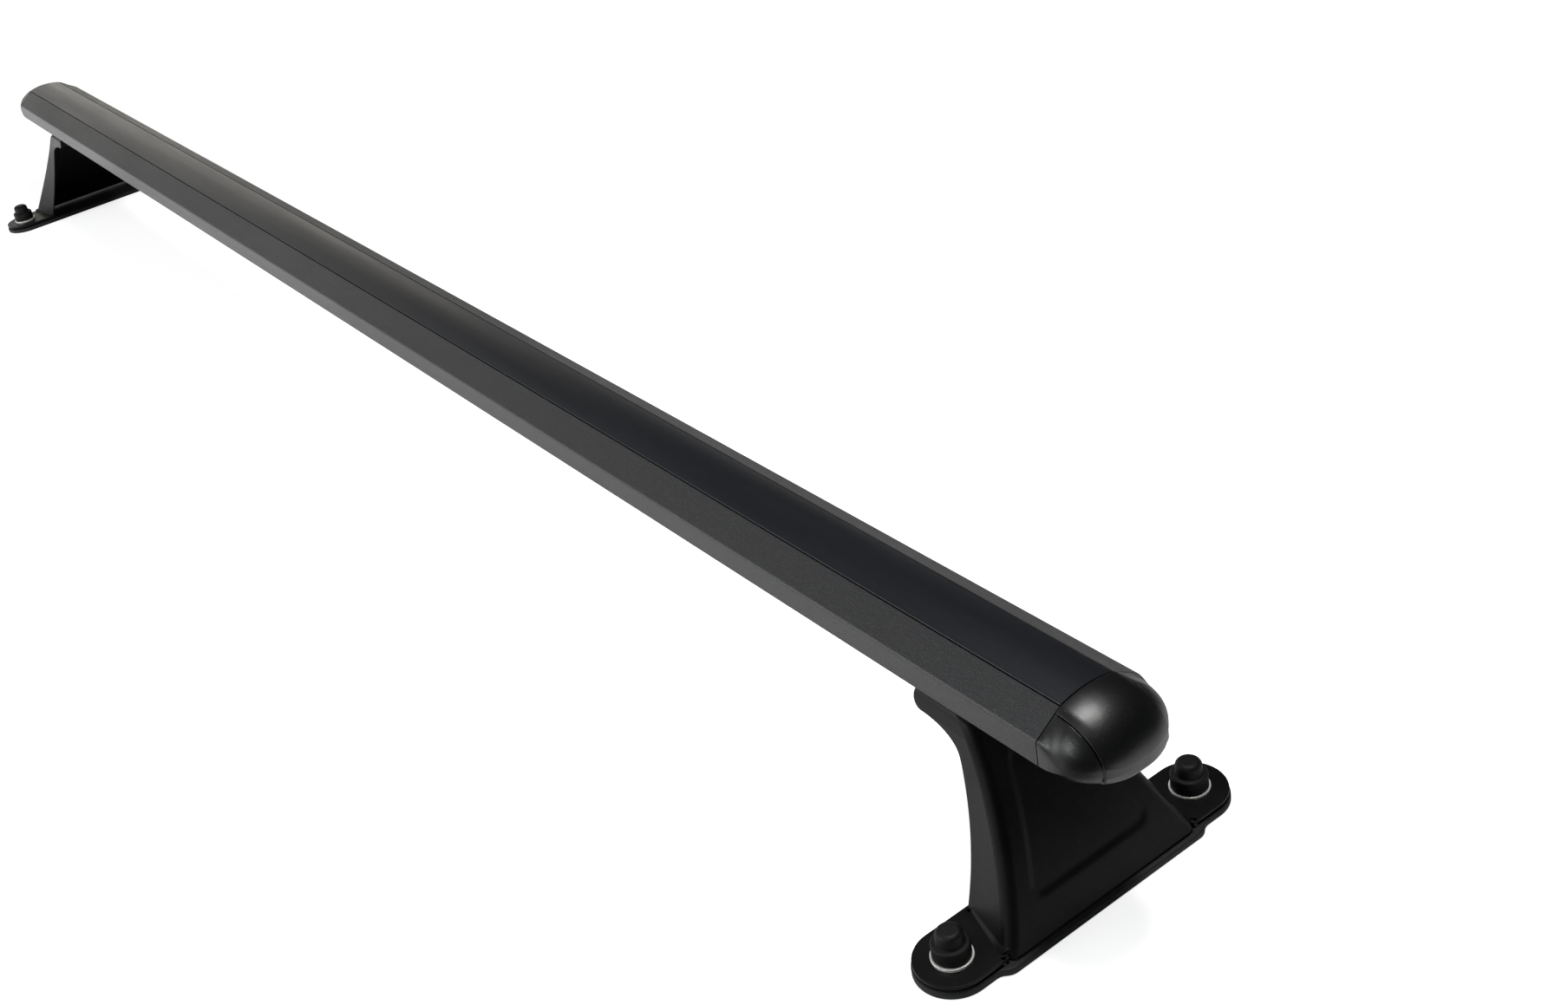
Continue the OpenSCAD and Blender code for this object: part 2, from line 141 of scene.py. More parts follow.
# Slow changes over a surface: handling, dust and flow marks, stretched along the bar
def makeCloudGroup():
    group, given, out = newGroup(
        "slowClouds", {"Scale": 30.0, "Stretch": 1.0, "Low": 0.0, "High": 1.0},
        {"Value": "NodeSocketFloat"})
    link = group.links.new
    place = addNode(group, "ShaderNodeTexCoord")
    apart = addNode(group, "ShaderNodeSeparateXYZ")
    link(place.outputs["Object"], apart.inputs[0])
    along = addNode(group, "ShaderNodeMath", operation="DIVIDE")
    link(apart.outputs["X"], along.inputs[0])
    link(given.outputs["Stretch"], along.inputs[1])
    together = addNode(group, "ShaderNodeCombineXYZ")
    link(along.outputs[0], together.inputs["X"])
    link(apart.outputs["Y"], together.inputs["Y"])
    link(apart.outputs["Z"], together.inputs["Z"])
    clouds = addNode(group, "ShaderNodeTexNoise",
                     Detail=cloudLook["detail"], Roughness=cloudLook["roughness"])
    link(together.outputs[0], clouds.inputs["Vector"])
    link(given.outputs["Scale"], clouds.inputs["Scale"])
    fit = addNode(group, "ShaderNodeMapRange")
    link(clouds.outputs["Fac"], fit.inputs["Value"])
    fit.inputs["From Min"].default_value = cloudLook["from"]
    fit.inputs["From Max"].default_value = cloudLook["to"]
    link(given.outputs["Low"], fit.inputs["To Min"])
    link(given.outputs["High"], fit.inputs["To Max"])
    link(fit.outputs["Result"], out.inputs["Value"])
    return group


skinGroup = makeSkinGroup()
cloudGroup = makeCloudGroup()


# A dark coating, plastic or rubber: specks in its colour, slow clouds in its roughness, fine grain
def makeDarkFinish(name, look):
    material = bpy.data.materials.new(name)
    material.use_nodes = True
    tree = material.node_tree
    link = tree.links.new
    shader = tree.nodes["Principled BSDF"]
    shader.inputs["Specular IOR Level"].default_value = look["gloss"]
    skin = useGroup(tree, skinGroup, Grain=look["grain"], Speck=look["speck"],
                    **{"Speck Share": look["speckShare"]})
    clouds = useGroup(tree, cloudGroup, Scale=look["cloudScale"], Stretch=look["stretch"],
                      Low=look["smooth"], High=look["dull"])
    tone = addNode(tree, "ShaderNodeMix", data_type="RGBA")
    tone.inputs[6].default_value = (*look["colour"], 1)
    tone.inputs[7].default_value = (*look["speckColour"], 1)
    link(skin.outputs["Specks"], tone.inputs[0])
    link(tone.outputs[2], shader.inputs["Base Color"])
    link(clouds.outputs["Value"], shader.inputs["Roughness"])
    bump = addNode(tree, "ShaderNodeBump", Strength=look["bump"], Distance=look["bumpDepth"])
    link(skin.outputs["Height"], bump.inputs["Height"])
    if look.get("edge"):
        rounded = addNode(tree, "ShaderNodeBevel", samples=6, Radius=look["edge"])
        link(rounded.outputs["Normal"], bump.inputs["Normal"])
    link(bump.outputs["Normal"], shader.inputs["Normal"])
    return material


# Plated steel: bright, with a fine grain and faint stains
def makePlatedFinish(name, look):
    material = bpy.data.materials.new(name)
    material.use_nodes = True
    tree = material.node_tree
    link = tree.links.new
    shader = tree.nodes["Principled BSDF"]
    shader.inputs["Metallic"].default_value = look["metal"]
    stain = useGroup(tree, cloudGroup, Scale=look["stainScale"], Stretch=1.0, Low=0.0, High=1.0)
    tone = addNode(tree, "ShaderNodeMix", data_type="RGBA")
    tone.inputs[6].default_value = (*look["colour"], 1)
    tone.inputs[7].default_value = (*look["stain"], 1)
    link(stain.outputs["Value"], tone.inputs[0])
    link(tone.outputs[2], shader.inputs["Base Color"])
    rough = useGroup(tree, cloudGroup, Scale=look["wearScale"], Stretch=1.0,
                     Low=look["smooth"], High=look["dull"])
    link(rough.outputs["Value"], shader.inputs["Roughness"])
    skin = useGroup(tree, skinGroup, Grain=look["grain"], **{"Speck Share": 0.0})
    bump = addNode(tree, "ShaderNodeBump", Strength=look["bump"], Distance=look["bumpDepth"])
    link(skin.outputs["Height"], bump.inputs["Height"])
    link(bump.outputs["Normal"], shader.inputs["Normal"])
    return material


finishes = {
    "barPowderCoat": makeDarkFinish("barPowderCoat", {
        "colour": (0.0065, 0.0068, 0.0078), "speckColour": (0.02, 0.021, 0.024),
        "grain": 1500.0, "speck": 2400.0, "speckShare": 0.1,
        "cloudScale": 26.0, "stretch": 5.0, "smooth": 0.38, "dull": 0.46,
        "bump": 0.7, "bumpDepth": 0.00028, "gloss": 0.5}),
    "stripRubber": makeDarkFinish("stripRubber", {
        "colour": (0.0034, 0.0046, 0.0078), "speckColour": (0.006, 0.007, 0.009),
        "grain": 260.0, "speck": 700.0, "speckShare": 0.02,
        "cloudScale": 60.0, "stretch": 14.0, "smooth": 0.33, "dull": 0.42,
        "bump": 0.1, "bumpDepth": 0.00012, "gloss": 0.5}),
    "capPlastic": makeDarkFinish("capPlastic", {
        "colour": (0.003, 0.0032, 0.0037), "speckColour": (0.005, 0.0052, 0.006),
        "grain": 4200.0, "speck": 3200.0, "speckShare": 0.02,
        "cloudScale": 40.0, "stretch": 1.0, "smooth": 0.3, "dull": 0.36,
        "bump": 0.4, "bumpDepth": 0.00007, "edge": 0.0005, "gloss": 0.45}),
    "pressedSteel": makeDarkFinish("pressedSteel", {
        "colour": (0.0018, 0.0019, 0.0022), "speckColour": (0.003, 0.0031, 0.0034),
        "grain": 900.0, "speck": 2600.0, "speckShare": 0.05,
        "cloudScale": 34.0, "stretch": 1.0, "smooth": 0.36, "dull": 0.46,
        "bump": 0.25, "bumpDepth": 0.00018, "edge": 0.0006, "gloss": 0.16}),
    "padRubber": makeDarkFinish("padRubber", {
        "colour": (0.0085, 0.009, 0.0105), "speckColour": (0.011, 0.0115, 0.013),
        "grain": 700.0, "speck": 900.0, "speckShare": 0.08,
        "cloudScale": 50.0, "stretch": 1.0, "smooth": 0.55, "dull": 0.68,
        "bump": 0.35, "bumpDepth": 0.00015, "edge": 0.0006, "gloss": 0.3}),
    "coverRubber": makeDarkFinish("coverRubber", {
        "colour": (0.0028, 0.003, 0.0036), "speckColour": (0.0045, 0.0047, 0.005),
        "grain": 800.0, "speck": 1200.0, "speckShare": 0.05,
        "cloudScale": 90.0, "stretch": 1.0, "smooth": 0.5, "dull": 0.62,
        "bump": 0.3, "bumpDepth": 0.0001, "edge": 0.0004, "gloss": 0.2}),
    "washerZinc": makePlatedFinish("washerZinc", {
        "colour": (0.97, 0.965, 0.94), "stain": (0.9, 0.885, 0.83), "metal": 0.45,
        "stainScale": 160.0, "wearScale": 480.0, "smooth": 0.24, "dull": 0.36,
        "grain": 1500.0, "bump": 0.25, "bumpDepth": 0.0001}),
    "nutZinc": makePlatedFinish("nutZinc", {
        "colour": (0.74, 0.745, 0.75), "stain": (0.6, 0.59, 0.56), "metal": 1.0,
        "stainScale": 140.0, "wearScale": 420.0, "smooth": 0.22, "dull": 0.36,
        "grain": 1500.0, "bump": 0.25, "bumpDepth": 0.0001}),
    "clampSteel": makePlatedFinish("clampSteel", {
        "colour": (0.52, 0.52, 0.54), "stain": (0.4, 0.39, 0.37), "metal": 1.0,
        "stainScale": 120.0, "wearScale": 360.0, "smooth": 0.3, "dull": 0.45,
        "grain": 1200.0, "bump": 0.25, "bumpDepth": 0.0001}),
}
slotFinish = {
    "bar_powder_coat": "barPowderCoat", "strip_rubber": "stripRubber", "cap_plastic": "capPlastic",
    "pressed_steel": "pressedSteel", "pad_rubber": "padRubber", "cover_rubber": "coverRubber",
    "washer_zinc": "washerZinc", "nut_zinc": "nutZinc", "clamp_steel": "clampSteel",
}
print("finishes made:", len(finishes))


# The CAD nodes that no piece replaces show as they are, so they take their finish here
def dressNodes():
    for part in frame["record"]["subparts"]:
        shape = nodes[part["node"]].data
        shape.materials.clear()
        shape.materials.append(finishes[slotFinish[part["material_slot"]]])


dressNodes()


# Mesh helpers: forms are worked out in millimetres, in the drawing's axes

care = {
    "weld": 2e-6,          # metres between points that become one
    "sliver": 1e-6,
    "evenWeight": 60,
    "sharpAngle": 32,      # degrees from which an edge between two faces stays crisp
    "turnedAngle": 50,     # the same for washers and covers
}


def ease(value, low, high):
    t = min(1, max(0, (value - low) / (high - low)))
    return t * t * (3 - 2 * t)


def mix(a, b, t):
    return a + (b - a) * t


def arcPoints(centre, radius, start, end, steps):
    turns = [radians(mix(start, end, i / steps)) for i in range(steps + 1)]
    return [(centre[0] + radius * cos(turn), centre[1] + radius * sin(turn)) for turn in turns]


# A closed form through rings of points: the last ring meets the first, or each end has a flat face
def loftMesh(name, rings, loop=False):
    count = len(rings[0])
    points = [(x * mm, y * mm, z * mm) for ring in rings for x, y, z in ring]
    faces = []
    for k in range(len(rings) if loop else len(rings) - 1):
        after = (k + 1) % len(rings) * count
        for i in range(count):
            j = (i + 1) % count
            faces.append((k * count + i, k * count + j, after + j, after + i))
    if not loop:
        faces.append(tuple(reversed(range(count))))
        faces.append(tuple(range((len(rings) - 1) * count, len(rings) * count)))
    shape = bpy.data.meshes.new(name)
    shape.from_pydata(points, [], faces)
    work = bmesh.new()
    work.from_mesh(shape)
    bmesh.ops.recalc_face_normals(work, faces=work.faces)
    work.to_mesh(shape)
    work.free()
    return shape


def looseObject(name, shape):
    piece = bpy.data.objects.new(name, shape)
    scene.collection.objects.link(piece)
    return piece


# Cuts or joins a second mesh, and gives back the result as a new mesh
def combine(shape, tool, operation):
    target, cutter = looseObject("target", shape), looseObject("cutter", tool)
    change = target.modifiers.new("change", "BOOLEAN")
    change.object = cutter
    change.operation = operation
    change.solver = "EXACT"
    graph = bpy.context.evaluated_depsgraph_get()
    result = bpy.data.meshes.new_from_object(target.evaluated_get(graph))
    result.name = shape.name
    bpy.data.objects.remove(target)
    bpy.data.objects.remove(cutter)
    return result


def boxMesh(name, low, high):
    (x0, y0, z0), (x1, y1, z1) = low, high
    return loftMesh(name, [[(x, y0, z0), (x, y1, z0), (x, y1, z1), (x, y0, z1)] for x in (x0, x1)])


def cylinderMesh(name, centre, radius, low, high, steps=48):
    ring = arcPoints(centre, radius, 0, 360, steps)[:-1]
    return loftMesh(name, [[(x, y, z) for x, y in ring] for z in (low, high)])


# Smooth shading with crisp edges, kept flat on the broad faces
def finishPiece(piece, sharpAngle):
    work = bmesh.new()
    work.from_mesh(piece.data)
    bmesh.ops.remove_doubles(work, verts=work.verts, dist=care["weld"])
    bmesh.ops.dissolve_degenerate(work, edges=work.edges, dist=care["sliver"])
    # Split here, the many-cornered faces that a cut leaves don't fold over at their slivers
    bmesh.ops.triangulate(work, faces=[face for face in work.faces if len(face.verts) > 4])
    for face in work.faces:
        face.smooth = True
    for edge in work.edges:
        edge.smooth = len(edge.link_faces) == 2 and edge.calc_face_angle(0) < radians(sharpAngle)
    work.to_mesh(piece.data)
    work.free()
    even = piece.modifiers.new("evenNormals", "WEIGHTED_NORMAL")
    even.keep_sharp = True
    even.weight = care["evenWeight"]


def addPiece(name, shape, body, finish, replaced, sharpAngle=care["sharpAngle"]):
    piece = looseObject(name, shape)
    finishPiece(piece, sharpAngle)
    shape.materials.clear()
    shape.materials.append(finishes[finish])
    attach(piece, body)
    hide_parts(replaced)
    return piece


def mirrored(shape, name):
    copy = shape.copy()
    copy.name = name
    copy.transform(Matrix.Scale(-1, 4, (1, 0, 0)))
    copy.flip_normals()
    return copy


def moved(shape, x, z):
    shape.transform(Matrix.Translation((x * mm, 0, z * mm)))
    return shape


# Bar and rubber strip: one section each, drawn along the bar

barLow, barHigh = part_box("bar")
bar = {
    "length": (barHigh.x - barLow.x) / mm,
    "half": barHigh.y / mm,
    "under": barLow.z / mm,      # height of the flat underside over the roof
    "height": 29.4,
    "flatHalf": 19.0,
    "lowerEdge": 4.6,
    "crease": 17.4,
    "shoulder": 27.2,
    "recessHalf": 14.7,
    "recessDepth": 5.8,
    "channel": {"mouth": 4.5, "inner": 10.3, "lip": 3.2, "top": 10.2},
    "lowerArc": {"radius": 1.8, "inset": 1.9, "above": 1.44, "turn": (-62, 0)},
    "creaseArc": {"radius": 2.4, "inset": 2.6, "above": -1.0, "turn": (2, 53)},
    "lipArc": {"radius": 0.35, "below": 1.35, "turn": (58, 180)},
    "middle": 0.4,               # half of the outline stops here, beside the middle line
    "easing": 0.12,              # at the cut ends of the bar and of the strip
    "easingHeight": 0.45,        # share of the height towards which the ends are eased
}
strip = {
    "half": 14.2,
    "endGap": 0.2,
    "edgeArc": {"radius": 0.45, "below": 0.8, "turn": (0, 70)},
    "crownFrom": 1.4,            # in radii of the edge, from the strip's side
    "crownSteps": 20,
    "middle": 0.01,
}


def crownHeight(y):
    rise = bar["height"] - bar["shoulder"]
    return bar["shoulder"] + rise * (1 - (abs(y) / bar["recessHalf"]) ** 2)


# A round of the flank near a given height
def flankArc(arc, height, steps):
    centre = (bar["half"] - arc["inset"], height + arc["above"])
    return arcPoints(centre, arc["radius"], *arc["turn"], steps)


# Outer outline of one side, from the underside to the groove, as (Y, height)
def sideOutline(steps):
    return ([(bar["flatHalf"], 0)]
            + flankArc(bar["lowerArc"], bar["lowerEdge"], steps)
            + flankArc(bar["creaseArc"], bar["crease"], steps)
            + [(bar["recessHalf"], bar["shoulder"])])


def bothSides(half):
    return half + [(-y, z) for y, z in reversed(half)]


# The section drawn from start to end, with its outer edges eased at both ends
def sweepAlong(name, section, start, end, height):
    easing, middle = bar["easing"], bar["height"] * bar["easingHeight"]
    rings = []
    for x, inset in ((start, easing), (start + easing, 0), (end - easing, 0), (end, easing)):
        narrow = 1 - inset / bar["half"]
        rings.append([(x, y * narrow, height + z - inset * (z - middle) / middle)
                      for y, z in section])
    return loftMesh(name, rings)


def makeBar():
    slot, arc, middle = bar["channel"], bar["lipArc"], bar["middle"]
    r = arc["radius"]
    floor = bar["height"] - bar["recessDepth"]
    centre = (bar["recessHalf"] + r, bar["shoulder"] - r * arc["below"])
    half = ([(middle, slot["top"]), (slot["inner"], slot["top"]), (slot["inner"], slot["lip"]),
             (slot["mouth"], slot["lip"]), (slot["mouth"], 0)]
            + sideOutline(10)[:-1] + arcPoints(centre, r, *arc["turn"], 5)
            + [(bar["recessHalf"], floor), (middle, floor)])
    end = bar["length"] / 2
    shape = sweepAlong("barExtrusion", bothSides(half), -end, end, bar["under"])
    addPiece("barExtrusion", shape, "crossbar", "barPowderCoat", "bar")


def makeStrip():
    arc, middle, steps = strip["edgeArc"], strip["middle"], strip["crownSteps"]
    r = arc["radius"]
    start = strip["half"] - r * strip["crownFrom"]
    across = [mix(start, middle, i / steps) for i in range(steps + 1)]
    centre = (strip["half"] - r, crownHeight(strip["half"]) - r * arc["below"])
    floor = bar["height"] - bar["recessDepth"]
    half = [(middle, floor), (strip["half"], floor)] + arcPoints(centre, r, *arc["turn"], 5)
    half += [(y, crownHeight(y)) for y in across]
    end = bar["length"] / 2 - strip["endGap"]
    shape = sweepAlong("stripCushion", bothSides(half), -end, end, bar["under"])
    addPiece("stripCushion", shape, "crossbar", "stripRubber", "rubber_strip")


makeBar()
makeStrip()
print("bar and strip drawn,", round(bar["length"]), "mm long")


# End caps: lofted from the bar's section to a blunt nose, with recessed cheeks

cap = {
    "bandHalf": 17.6,
    "band": {"length": 29.9, "out": 1.2, "drop": 0.0,
             "lowOval": 0.75, "topOval": 0.75, "falls": False},
    "cheeks": {"length": 28.7, "out": 0.0, "drop": 0.6,
               "lowOval": 0.6, "topOval": 0.34, "falls": True},
    # How much of out each stretch of the section takes, across and up
    "proud": {"under": (0.2, -0.3), "flank": (0.95, 0.1), "top": (0.3, 0.0)},
    "noseHeight": 8.0,
    "planPower": 2.5,
    "topPower": 1.9,
    "edgePower": 0.3,
    "oval": {"widest": 11.0, "pinch": 0.6, "power": 4},
    "hollow": 0.3,
    "spacing": 1.2,        # between points along the flanks
    "levels": 56,
    "tip": 0.9985,         # share of the length at which the nose is closed
    "crease": {"ends": 0.5, "power": 1.7, "above": 0.3},    # how the bar's crease runs out
    # Between the cap and the bar's end, sunk in towards the section's middle
    "slit": {"wide": 0.3, "deep": 1.2, "lip": 0.2, "lipDeep": 0.15, "middle": 12.0, "reach": 15.0},
    # Round the band: it opens over a stretch of the cap and stays a share of the cheek's height
    "groove": {"wide": 0.5, "deep": 0.9, "opens": (0.5, 2.5), "share": 0.2, "wall": 0.05},
    "leastCheek": 1.5,     # a lower cheek than this is left off
    "cheekEnd": 0.998,     # share of the cheeks' length
    "cheekPoints": 84,
    "bandShare": 0.985,    # of the width, where the nose is narrower than the band
    "sharpAngle": 24,
}


# One side of the section at the seam, from the bottom to the top, standing proud of the bar by out
def capSide(out, drop):
    under, flank, top = (cap["proud"][stretch] for stretch in ("under", "flank", "top"))
    side = [(bar["flatHalf"] * f, cap["hollow"] * (1 - f * f) + out * under[1])
            for f in (0, 0.3, 0.6, 0.85)]
    for y, z in sideOutline(9):
        if z > bar["shoulder"] - 0.1:
            across, up = top
        elif y > bar["flatHalf"] + 0.1:
            across, up = flank
        else:
            across, up = under
        side.append((y + out * across, z + out * up))
    # More points along the two straight flanks
    full = []
    for (y0, z0), (y1, z1) in zip(side, side[1:]):
        parts = max(1, int(sqrt((y1 - y0) ** 2 + (z1 - z0) ** 2) / cap["spacing"]))
        full += [(mix(y0, y1, i / parts), mix(z0, z1, i / parts)) for i in range(parts)]
    full.append(side[-1])
    crown = [bar["recessHalf"] * tenth / 10 for tenth in range(9, -1, -1)]
    return full + [(y, crownHeight(y) - drop) for y in crown]


# Where a point of the section lies on the nose's oval, which is squarer below its widest height
def nosePoint(y, z):
    widest, power = cap["oval"]["widest"], cap["oval"]["power"]
    turn = atan2(z - widest, y * cap["oval"]["pinch"])
    square, reach = 1, bar["height"] - widest
    if z <= widest:
        square, reach = (abs(cos(turn)) ** power + abs(sin(turn)) ** power) ** (1 / power), widest
    return bar["half"] * cos(turn) / square, widest + reach * sin(turn) / square


# Height of a cheek's point at share u of the length: the crease of the bar falls to the lower edge
def fallenHeight(z, u):
    low, crease, shoulder = bar["lowerEdge"], bar["crease"], bar["shoulder"]
    fall = cap["crease"]
    now = mix(crease, low + fall["above"], min(1, u / fall["ends"]) ** fall["power"])
    if z <= low or z >= shoulder:
        return z
    if z <= crease:
        return mix(low, now, (z - low) / (crease - low))
    return mix(now, shoulder, (z - crease) / (shoulder - crease))


# One side of the section at distance x from the seam, of the band or of the cheeks
def capChain(form, x):
    u = min(cap["tip"], x / form["length"])
    nose = cap["noseHeight"]
    wide = (1 - u ** cap["planPower"]) ** (1 / cap["planPower"])
    high = (1 - u ** cap["topPower"]) ** (1 / cap["topPower"])
    chain = []
    for y, z in capSide(form["out"], form["drop"]):
        # On the cheeks the top turns into the nose's oval sooner than the lower edge
        m = mix(ease(u, 0, form["lowOval"]), ease(u, 0, form["topOval"]),
                ease(z, bar["lowerEdge"], bar["shoulder"]))
        z = fallenHeight(z, u) if form["falls"] else z
        noseY, noseZ = nosePoint(y, z)
        y, z = mix(y, noseY, m), mix(z, noseZ, m)
        s = high if z >= nose else wide ** cap["edgePower"]
        chain.append((y * wide, nose + (z - nose) * s))
    return chain


# The heights at which a chain crosses the distance y from the middle, on its underside and on top
def crossings(chain, y):
    widest = max(range(len(chain)), key=lambda i: chain[i][0])
    found = []
    for part in (chain[:widest + 1], chain[widest:][::-1]):
        for (y0, z0), (y1, z1) in zip(part, part[1:]):
            if y <= y1:
                found.append(mix(z0, z1, max(0, y - y0) / max(1e-6, y1 - y0)))
                break
    return found if len(found) == 2 else None


# count points at even distances along a line of points
def evenly(line, count):
    reach = [0]
    for (y0, z0), (y1, z1) in zip(line, line[1:]):
        reach.append(reach[-1] + sqrt((y1 - y0) ** 2 + (z1 - z0) ** 2))
    points, j = [], 0
    for i in range(count):
        at = reach[-1] * i / (count - 1)
        while j < len(line) - 2 and reach[j + 1] < at:
            j += 1
        t = (at - reach[j]) / max(1e-9, reach[j + 1] - reach[j])
        points.append((mix(line[j][0], line[j + 1][0], t), mix(line[j][1], line[j + 1][1], t)))
    return points


# Outline of the whole cap at distance x: band, groove and cheek on each side
def capRing(x):
    band, cheeks, groove, count = cap["band"], cap["cheeks"], cap["groove"], cap["cheekPoints"]
    outer = capChain(band, x)
    edge = min(cap["bandHalf"], max(y for y, z in outer) * cap["bandShare"])
    under = [(edge * i / 10, crossings(outer, edge * i / 10)[0]) for i in range(11)]
    over = [(edge * i / 16, crossings(outer, edge * i / 16)[1]) for i in range(16, -1, -1)]
    start = edge + groove["wide"]
    inner = capChain(cheeks, x) if x < cheeks["length"] * cap["cheekEnd"] else [(0, 0)]
    low, high = crossings(inner, start) or (0, 0)
    if high - low > cap["leastCheek"]:
        deep = min(groove["deep"], groove["share"] * (high - low)) * ease(x, *groove["opens"])
        wall = start - groove["wall"]
        cheek = [(start, low)] + [(y, z) for y, z in inner if y > start + 0.02] + [(start, high)]
        flank = ([(edge, low + deep), (wall, low + deep)] + evenly(cheek, count)
                 + [(wall, high - deep), (edge, high - deep)])
    else:
        low, high = crossings(outer, edge)
        flank = [(edge, mix(low, high, (i + 1) / (count + 5))) for i in range(count + 4)]
    half = under + flank + over
    return half + [(-y, z) for y, z in reversed(half[1:-1])]


def makeCaps():
    slit, levels = cap["slit"], cap["levels"]
    rings = []
    for x, inset in ((0, slit["deep"]), (slit["wide"], slit["deep"]),
                     (slit["wide"] + 0.02, slit["lipDeep"]), (slit["wide"] + slit["lip"], 0)):
        narrow = 1 - inset / bar["half"]
        rings.append([(x, y * narrow, z - inset * (z - slit["middle"]) / slit["reach"])
                      for y, z in capRing(x)])
    for k in range(2, levels + 1):
        x = sin(pi / 2 * k / levels) * cap["tip"] * cap["band"]["length"]
        rings.append([(x, y, z) for y, z in capRing(x)])
    right = moved(loftMesh("rightEndCap", rings), bar["length"] / 2, bar["under"])
    left = mirrored(right, "leftEndCap")
    sharp = cap["sharpAngle"]
    addPiece("rightEndCap", right, "crossbar", "capPlastic", "end_cap_right", sharp)
    addPiece("leftEndCap", left, "crossbar", "capPlastic", "end_cap_left", sharp)


makeCaps()
print("end caps shaped")


# Legs: sheet steel pressed to an open shell, with ears bent out to the roof bolts

foot = {
    "ears": 6.5,               # height of the top of the ears over the roof
    "insets": {"left": 32.0, "right": 18.0},
    "boltY": 72.0,
    "boltHole": 4.5,
    "earRadius": 17.5,
}
leg = {
    "height": 81.8,
    "sheet": 3.0,
    "baseHalf": 57.0,
    "topHalf": 25.0,
    "baseFront": 18.5,
    "reach": 65.0,             # how far the top plate reaches inboard of the bolts
    "plateRun": 33.0,
    "innerBase": 16.5,
    "toeIn": 8.5,
    # How much the panel, the sides and the flanges bow, as a share of their run
    "bow": {"panel": 0.32, "side": 0.34, "flange": 0.6},
    # A level cut through a slanting wall is wider than its sheet
    "slant": {"panel": 1.16, "side": 1.1},
    "bend": {"corner": 5.5, "top": 4.0, "front": 6.5, "ear": 2.2},
    "tab": {"depth": 9.8, "radius": 5.0, "reach": 21.8, "flare": 12.0, "flarePower": 2.6},
    # The recess in the panel, and how it narrows and rises at its foot and its head
    "press": {"low": 12.0, "depth": 0.6, "border": 17.5, "edge": 5.0, "belowTab": 4.0,
              "foot": {"narrow": 5.0, "over": 7.0, "rise": 3.5},
              "head": {"narrow": 3.0, "over": 9.0, "rise": 4.5}},
    "footStrip": 4.5,
    "footBox": (-9.5, 10.5),   # reach in X, from the panel's foot, of the trim of its edge
    "panelGap": 1.3,           # between the panel's lower edge and the pad
    # Where an ear's bend starts and ends, from the flange's inner edge and from its front corner
    "bendFrom": (3.0, 0.5),
    "bendTo": (-3.5, 0.5),
    "fillet": {"back": 2.8, "start": 0.6, "wide": 0.95, "high": 0.9},
    "notch": {"radius": 1.0, "inner": (-1.2, -1.4), "outer": (1.2, -1.2)},
    "earRim": 0.35,
    "earTaper": [(-2.65, -0.9), (-1.4, 0)],    # height and growth, above the ear's lower rim
    "clampX": (-56.0, -43.4),
    "clampHole": 3.4,
    "sharpAngle": 28,
}
tabLow = leg["height"] - leg["tab"]["depth"]


def panelX(z):
    t, bow = z / leg["height"], leg["bow"]["panel"]
    run = leg["baseFront"] + leg["reach"] - leg["plateRun"]
    return leg["baseFront"] - run * ((1 - bow) * t + bow * t * t)


def legHalf(z):
    t, bow = min(1, max(0, z / leg["height"])), leg["bow"]["side"]
    return mix(leg["baseHalf"], leg["topHalf"], (1 + bow) * t - bow * t * t)


def flangeCurve(z):
    t, bow = z / leg["height"], leg["bow"]["flange"]
    run = leg["reach"] - leg["innerBase"] - leg["tab"]["reach"]
    return -leg["innerBase"] - run * ((1 - bow) * t + bow * t * t)


# Inner edge of the side flanges: a long concave curve that ends in a round tab under the bar
def flangeX(z):
    tab = leg["tab"]
    if z <= tabLow - tab["flare"]:
        return flangeCurve(z)
    if z <= tabLow:
        t = (z - tabLow + tab["flare"]) / tab["flare"]
        out = leg["reach"] - tab["radius"] + flangeCurve(tabLow)
        return flangeCurve(z) - out * (1 - sqrt(max(0, 1 - t ** tab["flarePower"])))
    if z <= tabLow + tab["radius"]:
        left = 1 - (z - tabLow) / tab["radius"]
        return -leg["reach"] + tab["radius"] * (1 - sqrt(1 - left ** 2))
    return -leg["reach"]


# How far a bend has turned in at height z, on the face set in by inset
def turnedIn(z, radius, inset):
    r = radius - inset
    over = min(r, max(0, z - (leg["height"] - radius)))
    return r - sqrt(r * r - over * over)


# Horizontal section of the shell's outer face, or of its cavity when set in by the sheet
def legRing(z, inset, openX):
    bend, press, slant = leg["bend"], leg["press"], leg["slant"]
    foothold, head = press["foot"], press["head"]
    low, high = press["low"], tabLow - press["belowTab"]
    front = panelX(z) - inset * slant["panel"] - turnedIn(z, bend["front"], inset)
    outer = legHalf(z) - inset * slant["side"] - turnedIn(z, bend["top"], inset)
    inner = outer - leg["toeIn"] * (1 - min(1, z / leg["height"]))
    lean = atan2(outer - inner, front - openX)
    r = max(1.5, bend["corner"] - inset)
    centre = (front - r, outer - r * (1 + sin(lean)))
    width = legHalf(z) - press["border"]
    width -= foothold["narrow"] * (1 - ease(z, low, low + foothold["over"]))
    width = max(4, width - head["narrow"] * ease(z, high - head["over"], high))
    depth = press["depth"] * ease(z, low, low + foothold["rise"])
    depth *= 1 - ease(z, high - head["rise"], high)
    half = [(openX, inner)]
    half += arcPoints(centre, r, 90 + degrees(lean), 0, 12)
    half += [(front - depth * ease(t, 0, 1), width + press["edge"] * (1 - t))
             for t in spread(0, 1.0001, 8)]
    half += [(front - depth, width * 0.66), (front - depth, width * 0.33)]
    return [(x, -y, z) for x, y in half] + [(x, y, z) for x, y in reversed(half)]


